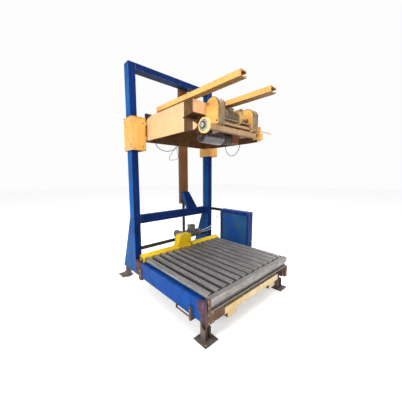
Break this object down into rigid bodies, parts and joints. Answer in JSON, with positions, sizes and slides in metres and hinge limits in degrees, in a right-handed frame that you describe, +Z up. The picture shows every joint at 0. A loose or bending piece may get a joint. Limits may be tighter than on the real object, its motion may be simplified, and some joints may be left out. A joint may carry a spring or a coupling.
{
  "type": "pallet wrapping machine",
  "caption": "Lifting wrapping head on a two-post portal over a driven roller conveyor, with drives, film reel and control cabinet.",
  "frame": {"origin": "centre of the outer floor anchor pattern of the four foot plates, on the floor", "axes": "+Z up along the posts; X across the portal, along the conveyor's travel; +Y from the front rail to the posts"},
  "size_m": [1.8265, 2.31, 3.18],
  "materials": {
    "blue_paint": "worn gloss paint with rust patches",
    "cabinet_paint": "worn gloss paint",
    "pale_yellow_paint": "chalky worn paint",
    "yellow_paint": "worn paint",
    "peach_paint": "faded worn paint",
    "guard_yellow_paint": "bright gloss paint",
    "brown_paint": "rusty peeling paint",
    "bronze_paint": "dusty paint",
    "black_paint": "satin paint",
    "grey_paint": "chipped paint",
    "motor_paint": "oily paint",
    "rusty_steel": "rusty",
    "worn_steel": "worn, with brown streaks",
    "chain_steel": "oiled dark steel",
    "bearing_iron": "dark cast",
    "black_plastic": "matte",
    "wheel_plastic": "matte",
    "film_plastic": "glossy wound film",
    "cable_rubber": "matte",
    "cable_grey": "matte"
  },
  "bodies": {
    "frame": {"left_post": "blue_paint", "right_post": "blue_paint", "top_beam": "blue_paint", "mid_beam": "blue_paint", "post_gussets": "blue_paint", "base_beams": "blue_paint", "rear_cross_beam": "blue_paint", "front_cross_beam": "pale_yellow_paint", "beam_brackets": "rusty_steel", "feet": "grey_paint", "jack_bolts": "rusty_steel", "front_rail": "worn_steel", "rear_rail": "worn_steel", "roller_chain": "chain_steel", "roller_guard": "guard_yellow_paint", "conveyor_gearmotor": "motor_paint", "lift_gearmotor": "motor_paint", "shaft_bearings": "bearing_iron", "lift_chains": "chain_steel", "cable_column": "brown_paint", "cable_carrier": "black_plastic", "cabinet_shell": "cabinet_paint", "cabinet_rail": "black_paint", "power_cable_upper": "cable_grey", "power_cable_lower": "cable_grey"},
    "carriage": {"left_sleeve": "yellow_paint", "right_sleeve": "yellow_paint", "slide_pads": "wheel_plastic", "head_housing": "peach_paint", "junction_box": "black_plastic", "head_channels": "yellow_paint", "head_motor": "bronze_paint", "drum_guards": "yellow_paint", "front_bar": "brown_paint", "end_bracket": "yellow_paint", "roll_hangers": "brown_paint", "head_cable_left": "cable_rubber", "head_cable_thin": "cable_rubber", "head_cable_right": "cable_rubber"},
    "guide_wheel_pair": {"guide_wheels": "wheel_plastic"},
    "lower_lift_shaft": {"lift_shaft": "chain_steel"},
    "upper_lift_shaft": {"top_shaft": "chain_steel"},
    "film_drums": {"drive_drums": "worn_steel"},
    "front_spindle": {"front_shaft": "chain_steel"},
    "film_reel": {"film_roll": "film_plastic"},
    "door": {"cabinet_door": "cabinet_paint"},
    "motor_sprocket": {"drive_sprocket": "chain_steel"},
    "conveyor_roller_01": {"roller_01": "worn_steel"},
    "conveyor_roller_02": {"roller_02": "worn_steel"},
    "conveyor_roller_03": {"roller_03": "worn_steel"},
    "conveyor_roller_04": {"roller_04": "worn_steel"},
    "conveyor_roller_05": {"roller_05": "worn_steel"},
    "conveyor_roller_06": {"roller_06": "worn_steel"},
    "conveyor_roller_07": {"roller_07": "worn_steel"},
    "conveyor_roller_08": {"roller_08": "worn_steel"},
    "conveyor_roller_09": {"roller_09": "worn_steel"},
    "conveyor_roller_10": {"roller_10": "worn_steel"},
    "conveyor_roller_11": {"roller_11": "worn_steel"},
    "conveyor_roller_12": {"roller_12": "worn_steel"},
    "conveyor_roller_13": {"roller_13": "worn_steel"}
  },
  "joints": [
    {"name": "carriage_lift", "type": "slide", "parent": "frame", "child": "carriage", "axis": [0, 0, 1], "range_m": [-0.8, 0.42]},
    {"name": "lower_shaft_turn", "type": "hinge", "parent": "frame", "child": "lower_lift_shaft", "pos_m": [0, 0.55, 0.545], "axis": [1, 0, 0], "range_deg": [-1000, 1800]},
    {"name": "upper_shaft_turn", "type": "hinge", "parent": "frame", "child": "upper_lift_shaft", "pos_m": [0, 0.55, 2.99], "axis": [1, 0, 0], "range_deg": [-1000, 1800]},
    {"name": "guide_wheels_turn", "type": "hinge", "parent": "carriage", "child": "guide_wheel_pair", "pos_m": [0, 0.4136, 2.08], "axis": [1, 0, 0], "range_deg": [-600, 1100]},
    {"name": "film_drums_turn", "type": "hinge", "parent": "carriage", "child": "film_drums", "pos_m": [0, -0.7, 2.35], "axis": [1, 0, 0], "continuous": true},
    {"name": "front_spindle_turn", "type": "hinge", "parent": "carriage", "child": "front_spindle", "pos_m": [0, -0.745, 2.17], "axis": [1, 0, 0], "continuous": true},
    {"name": "film_reel_turn", "type": "hinge", "parent": "carriage", "child": "film_reel", "pos_m": [0, -0.34, 2.165], "axis": [1, 0, 0], "continuous": true},
    {"name": "cabinet_door_hinge", "type": "hinge", "parent": "frame", "child": "door", "pos_m": [0.951, 0.276, 0.7], "axis": [0, 0, 1], "range_deg": [0, 110]},
    {"name": "conveyor_drive", "type": "hinge", "parent": "frame", "child": "conveyor_roller_07", "pos_m": [0, 0, 0.465], "axis": [0, 1, 0], "continuous": true},
    {"name": "motor_sprocket_turn", "type": "hinge", "parent": "frame", "child": "motor_sprocket", "pos_m": [0, 0.4, 0.615], "axis": [0, 1, 0], "continuous": true},
    {"name": "roller_01_turn", "type": "hinge", "parent": "frame", "child": "conveyor_roller_01", "pos_m": [-0.72, 0, 0.465], "axis": [0, 1, 0], "continuous": true},
    {"name": "roller_02_turn", "type": "hinge", "parent": "frame", "child": "conveyor_roller_02", "pos_m": [-0.6, 0, 0.465], "axis": [0, 1, 0], "continuous": true},
    {"name": "roller_03_turn", "type": "hinge", "parent": "frame", "child": "conveyor_roller_03", "pos_m": [-0.48, 0, 0.465], "axis": [0, 1, 0], "continuous": true},
    {"name": "roller_04_turn", "type": "hinge", "parent": "frame", "child": "conveyor_roller_04", "pos_m": [-0.36, 0, 0.465], "axis": [0, 1, 0], "continuous": true},
    {"name": "roller_05_turn", "type": "hinge", "parent": "frame", "child": "conveyor_roller_05", "pos_m": [-0.24, 0, 0.465], "axis": [0, 1, 0], "continuous": true},
    {"name": "roller_06_turn", "type": "hinge", "parent": "frame", "child": "conveyor_roller_06", "pos_m": [-0.12, 0, 0.465], "axis": [0, 1, 0], "continuous": true},
    {"name": "roller_08_turn", "type": "hinge", "parent": "frame", "child": "conveyor_roller_08", "pos_m": [0.12, 0, 0.465], "axis": [0, 1, 0], "continuous": true},
    {"name": "roller_09_turn", "type": "hinge", "parent": "frame", "child": "conveyor_roller_09", "pos_m": [0.24, 0, 0.465], "axis": [0, 1, 0], "continuous": true},
    {"name": "roller_10_turn", "type": "hinge", "parent": "frame", "child": "conveyor_roller_10", "pos_m": [0.36, 0, 0.465], "axis": [0, 1, 0], "continuous": true},
    {"name": "roller_11_turn", "type": "hinge", "parent": "frame", "child": "conveyor_roller_11", "pos_m": [0.48, 0, 0.465], "axis": [0, 1, 0], "continuous": true},
    {"name": "roller_12_turn", "type": "hinge", "parent": "frame", "child": "conveyor_roller_12", "pos_m": [0.6, 0, 0.465], "axis": [0, 1, 0], "continuous": true},
    {"name": "roller_13_turn", "type": "hinge", "parent": "frame", "child": "conveyor_roller_13", "pos_m": [0.72, 0, 0.465], "axis": [0, 1, 0], "continuous": true}
  ],
  "couplings": [
    {"joint": "lower_shaft_turn", "follows": "carriage_lift", "rad_per_m": -35.714},
    {"joint": "upper_shaft_turn", "follows": "carriage_lift", "rad_per_m": -35.714},
    {"joint": "guide_wheels_turn", "follows": "carriage_lift", "rad_per_m": -21.739},
    {"joint": "front_spindle_turn", "follows": "film_drums_turn", "ratio": 1},
    {"joint": "motor_sprocket_turn", "follows": "conveyor_drive", "ratio": 1},
    {"joint": "roller_01_turn", "follows": "conveyor_drive", "ratio": 1},
    {"joint": "roller_02_turn", "follows": "conveyor_drive", "ratio": 1},
    {"joint": "roller_03_turn", "follows": "conveyor_drive", "ratio": 1},
    {"joint": "roller_04_turn", "follows": "conveyor_drive", "ratio": 1},
    {"joint": "roller_05_turn", "follows": "conveyor_drive", "ratio": 1},
    {"joint": "roller_06_turn", "follows": "conveyor_drive", "ratio": 1},
    {"joint": "roller_08_turn", "follows": "conveyor_drive", "ratio": 1},
    {"joint": "roller_09_turn", "follows": "conveyor_drive", "ratio": 1},
    {"joint": "roller_10_turn", "follows": "conveyor_drive", "ratio": 1},
    {"joint": "roller_11_turn", "follows": "conveyor_drive", "ratio": 1},
    {"joint": "roller_12_turn", "follows": "conveyor_drive", "ratio": 1},
    {"joint": "roller_13_turn", "follows": "conveyor_drive", "ratio": 1}
  ]
}
